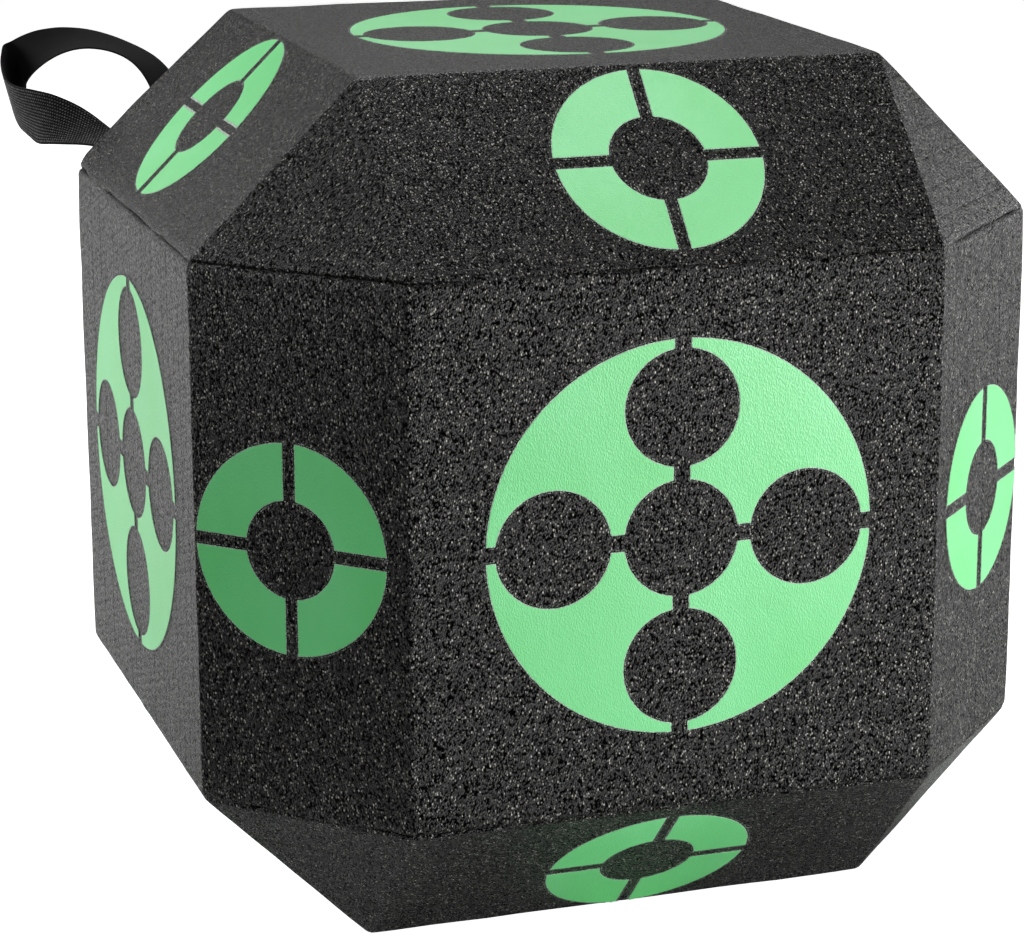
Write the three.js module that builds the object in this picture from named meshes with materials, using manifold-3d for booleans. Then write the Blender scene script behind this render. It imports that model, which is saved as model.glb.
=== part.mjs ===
// Archery target boss: a block of laminated closed-cell foam with all its edges and corners cut
// away, so that it can be shot at from any side, and a carrying loop of flat webbing at one corner.
// Millimetres, +Z up. The origin is the middle of the face it stands on; the front is towards -Y.
import * as THREE from 'three';
import { ConvexGeometry } from 'three/addons/geometries/ConvexGeometry.js';
import { mergeVertices } from 'three/addons/utils/BufferGeometryUtils.js';
import Module from 'manifold-3d';

const wasm = await Module();
wasm.setup();

// Foam block
const blockSize = 380; // across two opposite faces
const bevelDepth = 73; // how far each bevel runs in from the edge of the full cube, on both sides
const bevelSheetCount = 7; // sheets that each bevel cuts across, in the caps and in the core
const faceSheetCount = 23; // upright sheets between the front and back bevels

// Webbing
const webWidth = 25;
const webThickness = 1.5;
const tailLength = 70; // glued length of each end, in its slot
const stubLength = 8; // from the foam to the line where the loop bends
const tailInset = 1.5; // foam left between a slot and the side of the corner face
const sheetCountUnderTails = 1; // cap sheets from the core up to the webbing; the last one holds it
const slotGap = 0.3; // beside and behind a tail
const bendGap = 0.7; // between a tail and the rounded end of the loop, so that the loop can fold back
const loopReach = 95.5; // from the bend line to the far end of the loop
const loopRise = 38.5; // how high the far strand arches over the bend line

// Shape of the loop, from the near tail round to the far one, chosen by hand: outward as a share
// of loopReach, sideways as a share of the tails' distance from the middle, upward as a share of
// loopRise, then how far the webbing's width leans towards the far side and tips outward, in degrees.
const loopShares = [
  [0, 1, 0, 90, 0],
  [0.095, 1, 0.06, 78, 0],
  [0.22, 0.975, 0.12, 61, 0],
  [0.36, 0.9, 0.155, 43, 2],
  [0.51, 0.76, 0.175, 26, 5],
  [0.65, 0.52, 0.205, 10, 8],
  [0.775, 0.18, 0.265, -6, 10],
  [0.875, -0.22, 0.36, -18, 11],
  [0.95, -0.58, 0.455, -22, 11],
  [0.985, -0.84, 0.535, -18, 12],
  [0.98, -1, 0.605, -6, 15],
  [0.93, -1.04, 0.695, 13, 17],
  [0.83, -0.97, 0.82, 37, 16],
  [0.68, -0.9, 0.945, 60, 13],
  [0.505, -0.89, 1, 78, 9],
  [0.325, -0.925, 0.95, 91, 5],
  [0.165, -0.97, 0.79, 96, 2],
  [0.065, -1, 0.5, 95, 0],
  [0.02, -1, 0.19, 92, 0],
  [0, -1, 0, 90, 0],
];
const stepsPerStation = 3;
const noseAngles = [85, 60, 30]; // degrees round the loop's rounded ends

const foamLook = { color: 0x35332f, roughness: 0.95, metalness: 0 };
const webbingLook = { color: 0x17181a, roughness: 0.8, metalness: 0 };

// What the sizes above lead to
const half = blockSize / 2;
const faceHalf = half - bevelDepth; // half the side of a square face
const lowerSeam = bevelDepth;
const upperSeam = blockSize - bevelDepth;

function makeMesh(name, geometry, look) {
  const mesh = new THREE.Mesh(geometry, new THREE.MeshStandardMaterial(look));
  mesh.name = name;
  return mesh;
}

// Flat sheets of the caps

// Height above or below the seam of the plane between cap sheets number and number + 1.
function capRise(number) {
  return bevelDepth * number / bevelSheetCount;
}

// Corners of the block's outline at this distance past a seam.
function capOutline(rise, z) {
  const reach = half - rise;
  const corners = [];
  for (const sideX of [-1, 1]) {
    for (const sideY of [-1, 1]) {
      corners.push(new THREE.Vector3(sideX * reach, sideY * faceHalf, z));
      corners.push(new THREE.Vector3(sideX * faceHalf, sideY * reach, z));
    }
  }
  return corners;
}

function capSheet(number, seam, direction) {
  const inner = capRise(number - 1);
  const outer = capRise(number);
  return new ConvexGeometry([
    ...capOutline(inner, seam + direction * inner),
    ...capOutline(outer, seam + direction * outer),
  ]);
}

// Upright sheets of the core, counted from the front

const coreSheetCount = 2 * bevelSheetCount + faceSheetCount;

// Where the plane between core sheets number and number + 1 stands.
function corePlane(number) {
  if (number <= bevelSheetCount) return bevelDepth * number / bevelSheetCount - half;
  if (number >= coreSheetCount - bevelSheetCount) return -corePlane(coreSheetCount - number);
  return 2 * faceHalf * (number - bevelSheetCount) / faceSheetCount - faceHalf;
}

function coreHalfWidth(y) {
  return Math.min(half, half + faceHalf - Math.abs(y));
}

function coreSheet(number) {
  const corners = [];
  for (const y of [corePlane(number - 1), corePlane(number)]) {
    for (const side of [-1, 1]) {
      corners.push(new THREE.Vector3(side * coreHalfWidth(y), y, lowerSeam));
      corners.push(new THREE.Vector3(side * coreHalfWidth(y), y, upperSeam));
    }
  }
  return new ConvexGeometry(corners);
}

// The webbing's corner is the upper one at the back on the left. In its group +X points straight
// out of the block and +Y towards the block's left side, and heights are the block's own.

const cornerTurn = 3 * Math.PI / 4;
const tailTop = upperSeam + capRise(sheetCountUnderTails);
const tailFloor = tailTop - webThickness;
const exitOut = (half + faceHalf - capRise(sheetCountUnderTails)) / Math.SQRT2;
const cornerFaceHalf = (bevelDepth - capRise(sheetCountUnderTails)) / Math.SQRT2; // at the height of the tails
const tailSide = cornerFaceHalf - tailInset - webWidth / 2;
const bendOut = exitOut + stubLength;
const bendHeight = tailTop - webThickness / 2;

function block(xFrom, xTo, yMiddle, width, zFrom, zTo) {
  const geometry = new THREE.BoxGeometry(xTo - xFrom, width, zTo - zFrom);
  return geometry.translate((xFrom + xTo) / 2, yMiddle, (zFrom + zTo) / 2);
}

function toSolid(geometry) {
  const bare = geometry.clone();
  bare.deleteAttribute('normal');
  bare.deleteAttribute('uv');
  const merged = mergeVertices(bare);
  return new wasm.Manifold(new wasm.Mesh({
    numProp: 3,
    vertProperties: new Float32Array(merged.attributes.position.array),
    triVerts: new Uint32Array(merged.index.array),
  }));
}

function fromSolid(solid) {
  const { vertProperties, triVerts } = solid.getMesh();
  const geometry = new THREE.BufferGeometry();
  geometry.setAttribute('position', new THREE.BufferAttribute(vertProperties, 3));
  geometry.setIndex(new THREE.BufferAttribute(triVerts, 1));
  geometry.computeVertexNormals();
  return geometry;
}

// The sheet that the tails are let into, with a slot for each, open to the corner face.
function slottedSheet() {
  let solid = toSolid(capSheet(sheetCountUnderTails, upperSeam, 1));
  for (const side of [-1, 1]) {
    const slot = block(
      exitOut - tailLength - slotGap, exitOut + bevelDepth,
      side * tailSide, webWidth + 2 * slotGap,
      tailFloor, tailTop + capRise(1),
    );
    solid = solid.subtract(toSolid(slot.rotateZ(cornerTurn)));
  }
  return fromSolid(solid);
}

function tail(side) {
  const end = bendOut - webThickness / 2 - bendGap;
  return block(exitOut - tailLength, end, side * tailSide, webWidth, tailFloor, tailTop);
}

// One cross section of the webbing: its width runs along ruling, its thickness square to both.
function webSection(centre, tangent, ruling, halfThickness) {
  const across = ruling.clone().addScaledVector(tangent, -ruling.dot(tangent)).setLength(webWidth / 2);
  const through = new THREE.Vector3().crossVectors(tangent, across).setLength(halfThickness);
  return [[-1, -1], [1, -1], [1, 1], [-1, 1]].map(([wide, thick]) => (
    centre.clone().addScaledVector(across, wide).addScaledVector(through, thick)
  ));
}

function loopSections() {
  const places = loopShares.map(([out, sideways, up]) => new THREE.Vector3(
    bendOut + out * loopReach, sideways * tailSide, bendHeight + up * loopRise,
  ));
  const rulings = loopShares.map(([, , , leanDegrees, tipDegrees]) => {
    const lean = THREE.MathUtils.degToRad(leanDegrees);
    const tip = THREE.MathUtils.degToRad(tipDegrees);
    return new THREE.Vector3(
      Math.sin(tip), -Math.sin(lean) * Math.cos(tip), Math.cos(lean) * Math.cos(tip),
    );
  });
  const centres = new THREE.CatmullRomCurve3(places);
  const widths = new THREE.CatmullRomCurve3(rulings);
  const steps = stepsPerStation * (loopShares.length - 1);
  const sections = [];
  for (let step = 0; step <= steps; step += 1) {
    const share = step / steps;
    sections.push(webSection(
      centres.getPoint(share), centres.getTangent(share), widths.getPoint(share), webThickness / 2,
    ));
  }
  const nose = (share, direction) => noseAngles.map((degrees) => {
    const turn = THREE.MathUtils.degToRad(degrees);
    const tangent = centres.getTangent(share);
    const setBack = direction * Math.sin(turn) * webThickness / 2;
    const centre = centres.getPoint(share).addScaledVector(tangent, setBack);
    return webSection(centre, tangent, widths.getPoint(share), Math.cos(turn) * webThickness / 2);
  });
  return [...nose(0, -1), ...sections, ...nose(1, 1).reverse()];
}

// A closed skin over a row of four-cornered sections.
function loft(sections) {
  const corners = sections.flat();
  const triangles = [[0, 2, 1], [0, 3, 2]];
  for (let row = 0; row + 1 < sections.length; row += 1) {
    for (let side = 0; side < 4; side += 1) {
      const near = 4 * row + side;
      const next = 4 * row + (side + 1) % 4;
      triangles.push([near, next, next + 4], [near, next + 4, near + 4]);
    }
  }
  const last = corners.length - 4;
  triangles.push([last, last + 1, last + 2], [last, last + 2, last + 3]);
  const geometry = new THREE.BufferGeometry().setFromPoints(corners);
  geometry.setIndex(triangles.flat());
  geometry.computeVertexNormals();
  return geometry;
}

const group = new THREE.Group();

for (let number = 1; number <= bevelSheetCount; number += 1) {
  const upper = number === sheetCountUnderTails ? slottedSheet() : capSheet(number, upperSeam, 1);
  group.add(makeMesh(`top_cap_sheet_${number}`, upper, foamLook));
  group.add(makeMesh(`bottom_cap_sheet_${number}`, capSheet(number, lowerSeam, -1), foamLook));
}

for (let number = 1; number <= coreSheetCount; number += 1) {
  const name = `core_sheet_${String(number).padStart(2, '0')}`;
  group.add(makeMesh(name, coreSheet(number), foamLook));
}

const corner = new THREE.Group();
corner.rotation.z = cornerTurn;
corner.add(makeMesh('strap_tail_near', tail(1), webbingLook));
corner.add(makeMesh('strap_tail_far', tail(-1), webbingLook));
corner.add(makeMesh('strap_loop', loft(loopSections()), webbingLook));
group.add(corner);

export default group;
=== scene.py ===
import math

import bmesh
import bpy
import numpy as np
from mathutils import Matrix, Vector, noise


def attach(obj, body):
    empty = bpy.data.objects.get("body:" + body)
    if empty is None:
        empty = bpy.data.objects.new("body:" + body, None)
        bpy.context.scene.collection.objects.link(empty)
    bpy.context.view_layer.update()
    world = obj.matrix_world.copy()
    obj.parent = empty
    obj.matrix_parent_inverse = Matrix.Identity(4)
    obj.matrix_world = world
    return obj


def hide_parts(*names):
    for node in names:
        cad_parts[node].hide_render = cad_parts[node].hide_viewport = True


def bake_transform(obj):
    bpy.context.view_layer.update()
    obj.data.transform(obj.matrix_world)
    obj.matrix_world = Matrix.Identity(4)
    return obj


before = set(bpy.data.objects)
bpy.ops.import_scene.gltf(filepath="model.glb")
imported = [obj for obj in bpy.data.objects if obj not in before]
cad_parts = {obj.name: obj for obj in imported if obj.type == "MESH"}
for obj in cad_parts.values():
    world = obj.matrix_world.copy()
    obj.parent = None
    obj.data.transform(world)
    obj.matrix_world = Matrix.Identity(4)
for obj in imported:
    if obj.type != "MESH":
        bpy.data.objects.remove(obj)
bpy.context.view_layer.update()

mm = 0.001
r2 = math.sqrt(0.5)
noiseSeed = 120
noise.seed_set(noiseSeed)  # without it, noise_vector starts from the clock

# Lengths are in metres. The block stands on the origin, and its middle is half its height above that.
block = dict(
    width=0.380, bevel=0.073, bevelSheets=7, faceSheets=23,
    edgeRadius=0.0022, cornerRadius=0.005, cornerReach=0.010,
    grooveDepth=0.00009, grooveWidth=0.0008, unevenness=0.00008,
    seamDepth=0.0017, seamWidth=0.0020,
    edgeWander=0.0004, wanderSize=0.022, wanderReach=0.005,
    seamWander=0.02, seamStretch=(1, 1, 0.2), seamSwing=1.5, seamShares=(0.25, 0.75, 1.6),
    swelling=0.0019, swellingReach=0.013, swellingHeights=(0.306, 0.313, 0.338, 0.373), lean=0.0027,
    skinDepth=0.0012, roundingPasses=40, sharpAngle=50,
)
half = block["width"] / 2
faceHalf = half - block["bevel"]
middle = Vector((0, 0, half))


class TreeBuilder:
    # Adds nodes to one tree. An input takes a plain value or another node's output.
    columnStep, rowStep, rowCount = 200, -260, 4

    def __init__(self, tree):
        self.tree = tree
        self.count = 0

    def put(self, kind, inputs=None, **settings):
        node = self.tree.nodes.new(kind)
        column, row = divmod(self.count, self.rowCount)
        node.location = (self.columnStep * column, self.rowStep * row)
        self.count += 1
        for name, value in settings.items():
            setattr(node, name, value)
        for name, value in (inputs or {}).items():
            socket = node.inputs[name]
            if isinstance(value, bpy.types.NodeSocket):
                self.tree.links.new(value, socket)
            else:
                socket.default_value = value
        return node

    def math(self, operation, a, b=0.0, c=0.0):
        return self.put("ShaderNodeMath", {0: a, 1: b, 2: c}, operation=operation).outputs[0]

    def ramp(self, value, fromLow, fromHigh, toLow, toHigh):
        return self.put(
            "ShaderNodeMapRange", {0: value, 1: fromLow, 2: fromHigh, 3: toLow, 4: toHigh},
            clamp=True, interpolation_type="LINEAR",
        ).outputs[0]

    def blendColours(self, share, a, b):
        node = self.put("ShaderNodeMix", {0: share, 6: a, 7: b}, data_type="RGBA", blend_type="MIX")
        return node.outputs[2]


def newGroup(name, kind, inputs, outputs):
    tree = bpy.data.node_groups.new(name, kind)
    for label, socket, value in inputs:
        made = tree.interface.new_socket(label, in_out="INPUT", socket_type=socket)
        if value is not None:
            made.default_value = value
    for label, socket in outputs:
        tree.interface.new_socket(label, in_out="OUTPUT", socket_type=socket)
    builder = TreeBuilder(tree)
    given = builder.put("NodeGroupInput").outputs
    return tree, builder, given, builder.put("NodeGroupOutput").inputs


def grow(name, tree, values, start=None):
    # Runs a geometry tree with these input values and returns its result as a plain object.
    obj = bpy.data.objects.new(name, start or bpy.data.meshes.new(name + "Start"))
    scene.collection.objects.link(obj)
    modifier = obj.modifiers.new("build", "NODES")
    modifier.node_group = tree
    for item in tree.interface.items_tree:
        if item.item_type == "SOCKET" and item.in_out == "INPUT" and item.name in values:
            modifier[item.identifier] = values[item.name]
    evaluated = obj.evaluated_get(bpy.context.evaluated_depsgraph_get())
    mesh = bpy.data.meshes.new_from_object(evaluated)
    obj.modifiers.remove(modifier)
    obj.data = mesh
    mesh.name = name
    return obj


def addMesh(name, points, faces, material):
    mesh = bpy.data.meshes.new(name)
    mesh.from_pydata([tuple(p) for p in points], [], faces)
    mesh.materials.append(material)
    obj = bpy.data.objects.new(name, mesh)
    scene.collection.objects.link(obj)
    return obj


def readPoints(mesh):
    points = np.empty(3 * len(mesh.vertices))
    mesh.vertices.foreach_get("co", points)
    return points.reshape(-1, 3)


def writePoints(mesh, points):
    mesh.vertices.foreach_set("co", points.ravel())
    mesh.update()


scene = bpy.context.scene
scene.view_settings.view_transform = "Standard"

# The camera, where the corners of the photographed block put it.
view = dict(
    azimuth=-18.1756, elevation=14.7564, roll=-0.0755, distance=1.5045,
    lens=112.364, sensor=36, shift=(-0.02536, -0.03510), clip=(0.05, 20),
)


def direction(azimuth, elevation):
    # Away from the block, from degrees round it and degrees up.
    a, e = math.radians(azimuth), math.radians(elevation)
    return Vector((math.sin(a) * math.cos(e), -math.cos(a) * math.cos(e), math.sin(e)))


def makeCamera():
    data = bpy.data.cameras.new("camera")
    data.lens = view["lens"]
    data.sensor_width = view["sensor"]
    data.shift_x, data.shift_y = view["shift"]
    data.clip_start, data.clip_end = view["clip"]
    camera = bpy.data.objects.new("camera", data)
    scene.collection.objects.link(camera)
    back = direction(view["azimuth"], view["elevation"])
    camera.location = middle + back * view["distance"]
    camera.rotation_euler = (-back).to_track_quat("-Z", "Y").to_euler()
    camera.rotation_euler.rotate_axis("Z", math.radians(view["roll"]))
    scene.camera = camera


makeCamera()
print("camera set")

# Materials

grain = dict(
    cell=0.0008, fine=0.00045, wrinkle=0.004, turn=(0.25, 0.3, 0.0), stretch=(1.15, 1.15, 0.7),
    randomness=0.8, jointDistance=0.45, lowestBubble=0.45, wrinkleTwist=0.8, patchScale=16.0, strayFrom=0.8,
)


def makeGrainGroup():
    # The skin of closed-cell foam: bubbles of uneven size with joints between them, which the foam's colour
    # darkens as painted shade.
    tree, t, given, out = newGroup("foamGrain", "ShaderNodeTree", [
        ("Cell size", "NodeSocketFloat", grain["cell"]),
        ("Fine size", "NodeSocketFloat", grain["fine"]),
        ("Wrinkle size", "NodeSocketFloat", grain["wrinkle"]),
        ("Fine share", "NodeSocketFloat", 0.25),
        ("Wrinkle share", "NodeSocketFloat", 0.5),
        ("Tilt", "NodeSocketFloat", 0.5),
        ("Stray tilt", "NodeSocketFloat", 1.0),
    ], [
        ("Height", "NodeSocketFloat"), ("Bubbles", "NodeSocketFloat"),
        ("Chance", "NodeSocketFloat"), ("Patches", "NodeSocketFloat"), ("Facet", "NodeSocketVector"),
    ])
    place = t.put("ShaderNodeMapping", {
        "Vector": t.put("ShaderNodeTexCoord").outputs["Object"],
        "Rotation": grain["turn"], "Scale": grain["stretch"],
    }, vector_type="POINT").outputs[0]

    def scaled(name):
        return t.math("DIVIDE", 1.0, given[name])

    cells = t.put("ShaderNodeTexVoronoi", {
        "Vector": place, "Scale": scaled("Cell size"), "Randomness": grain["randomness"],
    }, feature="F1").outputs
    bubbles = t.ramp(t.math("POWER", cells["Distance"], 2.0), 0.0, grain["jointDistance"], 1.0, 0.0)
    chance = t.put("ShaderNodeSeparateColor", {0: cells["Color"]}).outputs[0]
    fine = t.put("ShaderNodeTexNoise", {
        "Vector": place, "Scale": scaled("Fine size"), "Detail": 1.0,
    }).outputs[0]
    wrinkles = t.put("ShaderNodeTexNoise", {
        "Vector": place, "Scale": scaled("Wrinkle size"), "Detail": 2.0, "Distortion": grain["wrinkleTwist"],
    }).outputs[0]
    patches = t.put("ShaderNodeTexNoise", {
        "Vector": place, "Scale": grain["patchScale"], "Detail": 4.0,
    }).outputs[0]
    uneven = t.math("MULTIPLY", bubbles, t.ramp(chance, 0.0, 1.0, grain["lowestBubble"], 1.0))
    height = t.math("MULTIPLY_ADD", fine, given["Fine share"], uneven)
    height = t.math("MULTIPLY_ADD", wrinkles, given["Wrinkle share"], height)
    lean = t.put(
        "ShaderNodeVectorMath", {0: cells["Color"], 1: (0.5, 0.5, 0.5)}, operation="SUBTRACT",
    ).outputs[0]
    lot = t.put("ShaderNodeTexWhiteNoise", {"Vector": cells["Position"]}).outputs["Value"]
    stray = t.ramp(lot, grain["strayFrom"], 1.0, 0.0, 1.0)
    tilt = t.math("MULTIPLY_ADD", stray, given["Stray tilt"], given["Tilt"])
    push = t.put("ShaderNodeVectorMath", {0: lean, 3: tilt}, operation="SCALE").outputs[0]
    level = t.put("ShaderNodeNewGeometry").outputs["Normal"]
    facet = t.put("ShaderNodeVectorMath", {0: level, 1: push}, operation="ADD").outputs[0]
    facet = t.put("ShaderNodeVectorMath", {0: facet}, operation="NORMALIZE").outputs[0]
    for name, value in (
        ("Height", height), ("Bubbles", bubbles), ("Chance", chance),
        ("Patches", patches), ("Facet", facet),
    ):
        t.tree.links.new(value, out[name])
    return tree


foamGrain = makeGrainGroup()


def newMaterial(name):
    material = bpy.data.materials.new(name)
    material.use_nodes = True
    material.node_tree.nodes.clear()
    return material, TreeBuilder(material.node_tree)


def finishMaterial(t, shader):
    t.put("ShaderNodeOutputMaterial", {"Surface": shader.outputs[0]})


# The joint colour is painted shade in the crevices between bubbles and in the pits; the pale speck colour is
# a painted glint.
foamLook = dict(
    jointShade=(0.0012, 0.0011, 0.001, 1), skin=(0.007, 0.0067, 0.006, 1), paintedGlint=(0.52, 0.50, 0.455, 1),
    rarity=12.0, jointRoughness=0.6, dull=0.32, shiny=0.18, gloss=0.5, tilt=0.25, wrinkles=0.15,
    bump=0.00030, pitShadeShares=(0.12, 0.22), pitShadeEdge=0.25, jointShadeEdge=(0.15, 0.8), roughEdge=0.4,
    shineShares=(0.2, 0.9),
)


def makeFoam():
    # Each cell is a small facet. Its chance makes it an open pit, a plain cell or, rarely, a pale speck,
    # which is a painted glint.
    # A pit is painted shade: a metal of no colour, because that mirrors nothing. The dark joint colour
    # between the bubbles is painted shade in the crevices.
    material, t = newMaterial("blockFoam")
    skin = t.put(
        "ShaderNodeGroup", {"Tilt": foamLook["tilt"], "Wrinkle share": foamLook["wrinkles"]},
        node_tree=foamGrain,
    ).outputs
    # Pale specks on a few cells: a painted glint.
    paintedGlint = t.math("POWER", skin["Chance"], foamLook["rarity"])
    top = t.blendColours(paintedGlint, foamLook["skin"], foamLook["paintedGlint"])
    inside = t.ramp(skin["Bubbles"], *foamLook["jointShadeEdge"], 0.0, 1.0)
    # Darker joints between the bubbles: painted shade.
    colour = t.blendColours(inside, foamLook["jointShade"], top)
    shine = t.ramp(skin["Chance"], *foamLook["shineShares"], foamLook["dull"], foamLook["shiny"])
    rough = t.ramp(skin["Bubbles"], 0.0, foamLook["roughEdge"], foamLook["jointRoughness"], shine)
    # Black, unreflecting pits: painted shade.
    clearOfPitShade = t.math(
        "MULTIPLY", t.ramp(skin["Bubbles"], 0.0, foamLook["pitShadeEdge"], 0.0, 1.0),
        t.ramp(skin["Chance"], *foamLook["pitShadeShares"], 0.0, 1.0))
    bump = t.put("ShaderNodeBump", {
        "Height": skin["Height"], "Strength": 1.0, "Distance": foamLook["bump"], "Normal": skin["Facet"],
    })
    shader = t.put("ShaderNodeBsdfPrincipled", {
        "Base Color": t.blendColours(clearOfPitShade, foamLook["jointShade"], colour), "Roughness": rough,
        "Metallic": t.math("SUBTRACT", 1.0, clearOfPitShade), "Normal": bump.outputs[0],
        "Specular IOR Level": foamLook["gloss"],
    })
    finishMaterial(t, shader)
    return material


paintLook = dict(
    fresh=(0.155, 0.77, 0.24, 1), worn=(0.20, 0.83, 0.31, 1), pit=(0.08, 0.50, 0.14, 1),
    roughness=0.35, gloss=1.35, bump=0.00008, wrinkles=0.8, wornPatches=(0.35, 0.65),
    pitHeights=(0.22, 0.42), pitShare=0.5,
)


def makePaint():
    # Screen-printed ink that bridges the cells, with a few pits where it did not reach.
    material, t = newMaterial("greenPaint")
    skin = t.put("ShaderNodeGroup", {"Wrinkle share": paintLook["wrinkles"]}, node_tree=foamGrain).outputs
    wear = t.ramp(skin["Patches"], *paintLook["wornPatches"], 0.0, 1.0)
    colour = t.blendColours(wear, paintLook["fresh"], paintLook["worn"])
    pits = t.ramp(skin["Height"], *paintLook["pitHeights"], paintLook["pitShare"], 0.0)
    colour = t.blendColours(pits, colour, paintLook["pit"])
    bump = t.put("ShaderNodeBump", {
        "Height": skin["Height"], "Strength": 1.0, "Distance": paintLook["bump"],
    })
    shader = t.put("ShaderNodeBsdfPrincipled", {
        "Base Color": colour, "Roughness": paintLook["roughness"], "Normal": bump.outputs[0],
        "Specular IOR Level": paintLook["gloss"],
    })
    finishMaterial(t, shader)
    return material


baseLook = dict(
    low=(0.30, 0.37, 0.31, 1), high=(0.66, 0.80, 0.68, 1), edge=(0.2, 0.9),
    roughness=0.45, bump=0.00012, wrinkles=0.3,
)


def makeBase():
    # The pale layer under the green: it shows as a thin rim and as rough bands at the open ends.
    material, t = newMaterial("paleBase")
    skin = t.put("ShaderNodeGroup", {"Wrinkle share": baseLook["wrinkles"]}, node_tree=foamGrain).outputs
    inside = t.ramp(skin["Bubbles"], *baseLook["edge"], 0.0, 1.0)
    colour = t.blendColours(inside, baseLook["low"], baseLook["high"])
    bump = t.put("ShaderNodeBump", {
        "Height": skin["Height"], "Strength": 1.0, "Distance": baseLook["bump"],
    })
    shader = t.put("ShaderNodeBsdfPrincipled", {
        "Base Color": colour, "Roughness": baseLook["roughness"], "Normal": bump.outputs[0],
    })
    finishMaterial(t, shader)
    return material


greyLook = dict(
    low=(0.06, 0.065, 0.06, 1), high=(0.45, 0.52, 0.46, 1), edge=(0.35, 0.65), scale=700.0, roughness=0.5,
)


def makeGrey():
    # The pale outline that the print leaves on the tops of the cells.
    material, t = newMaterial("greyOutline")
    patches = t.put("ShaderNodeTexNoise", {
        "Vector": t.put("ShaderNodeTexCoord").outputs["Object"], "Scale": greyLook["scale"], "Detail": 2.0,
    }).outputs["Fac"]
    inside = t.ramp(patches, *greyLook["edge"], 0.0, 1.0)
    colour = t.blendColours(inside, greyLook["low"], greyLook["high"])
    shader = t.put("ShaderNodeBsdfPrincipled", {"Base Color": colour, "Roughness": greyLook["roughness"]})
    finishMaterial(t, shader)
    return material


# The ground's darker colours are painted shade between the yarn floats, and the yarn's lighter colours a
# painted sheen on them; both are the same black webbing.
webbingLook = dict(
    fibreScale=2600.0, dustScale=160.0, dustShare=0.5, toneEdge=(0.5, 1.0), bump=0.0002, bumpStrength=0.6,
    ground=((0.0016, 0.0016, 0.0017, 1), (0.005, 0.005, 0.0052, 1), 0.85, 0.12),
    yarn=((0.014, 0.014, 0.0145, 1), (0.05, 0.05, 0.051, 1), 0.42, 0.6),
)


def makeWebbing(name, dark, light, roughness, gloss):
    material, t = newMaterial(name)
    place = t.put("ShaderNodeTexCoord").outputs["Object"]
    fibres = t.put("ShaderNodeTexNoise", {
        "Vector": place, "Scale": webbingLook["fibreScale"], "Detail": 2.0,
    }).outputs["Fac"]
    dust = t.put("ShaderNodeTexNoise", {
        "Vector": place, "Scale": webbingLook["dustScale"], "Detail": 4.0,
    }).outputs["Fac"]
    dusty = t.math("MULTIPLY_ADD", dust, webbingLook["dustShare"], fibres)
    tone = t.ramp(dusty, *webbingLook["toneEdge"], 0.0, 1.0)
    colour = t.blendColours(tone, dark, light)
    bump = t.put("ShaderNodeBump", {
        "Height": fibres, "Strength": webbingLook["bumpStrength"], "Distance": webbingLook["bump"],
    })
    shader = t.put("ShaderNodeBsdfPrincipled", {
        "Base Color": colour, "Roughness": roughness, "Normal": bump.outputs[0],
        "Specular IOR Level": gloss,
    })
    finishMaterial(t, shader)
    return material


foam = makeFoam()
greenPaint = makePaint()
paleBase = makeBase()
greyOutline = makeGrey()
# Two tones of one webbing: painted shade on the ground, painted sheen on the floats.
webbingGroundPaintedShade = makeWebbing("webbingGroundPaintedShade", *webbingLook["ground"])
webbingYarnPaintedSheen = makeWebbing("webbingYarnPaintedSheen", *webbingLook["yarn"])
print("materials made")

# The block's planes in one eighth of the space around its middle.
blockPlanes = [
    (np.array(n, float) / math.sqrt(sum(n)), d / math.sqrt(sum(n)))
    for n, d in (
        ((1, 0, 0), half), ((0, 1, 0), half), ((0, 0, 1), half),
        ((1, 1, 0), half + faceHalf), ((1, 0, 1), half + faceHalf), ((0, 1, 1), half + faceHalf),
        ((1, 1, 1), half + 2 * faceHalf),
    )
]


def roundEdges(points):
    # Rolls the sharp block under a ball: each point goes to the ball's surface over the shrunken block.
    signs = np.where(points < 0, -1.0, 1.0)
    p = np.abs(points)
    corners = np.array([(half, faceHalf, faceHalf), (faceHalf, half, faceHalf), (faceHalf, faceHalf, half)])
    away = np.min(np.linalg.norm(p[:, None] - corners[None], axis=2), axis=1)
    extra = block["cornerRadius"] - block["edgeRadius"]
    radius = block["edgeRadius"] + extra * np.exp(-((away / block["cornerReach"]) ** 2))
    core = p.copy()
    kept = [np.zeros_like(p) for _ in blockPlanes]
    for _ in range(block["roundingPasses"]):
        for k, (normal, distance) in enumerate(blockPlanes):
            moved = core + kept[k]
            over = np.maximum(moved @ normal - (distance - radius), 0)
            core = moved - over[:, None] * normal
            kept[k] = moved - core
    out = p - core
    length = np.linalg.norm(out, axis=1)
    share = np.where(length > radius, radius / np.maximum(length, 1e-9), 1.0)
    return signs * (core + out * share[:, None])


def outward(points):
    # The face that each point lies nearest to: its normal, its depth, and the next face's depth.
    signs = np.where(points < 0, -1.0, 1.0)
    p = np.abs(points)
    depths = np.stack([distance - p @ normal for normal, distance in blockPlanes], axis=1)
    order = np.sort(depths, axis=1)
    nearest = np.argmin(depths, axis=1)
    normals = np.array([normal for normal, _ in blockPlanes])[nearest] * signs
    return normals, order[:, 0], order[:, 1]


def wander(points, size):
    return np.array([noise.noise_vector(Vector(p) / size) for p in points])


strapCorner = [np.array(v) for v in (
    (-half, faceHalf, faceHalf), (-faceHalf, faceHalf, half), (-faceHalf, half, faceHalf),
)]


def smoothStep(values, low, high):
    share = np.clip((values - low) / (high - low), 0, 1)
    return share * share * (3 - 2 * share)


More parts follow.
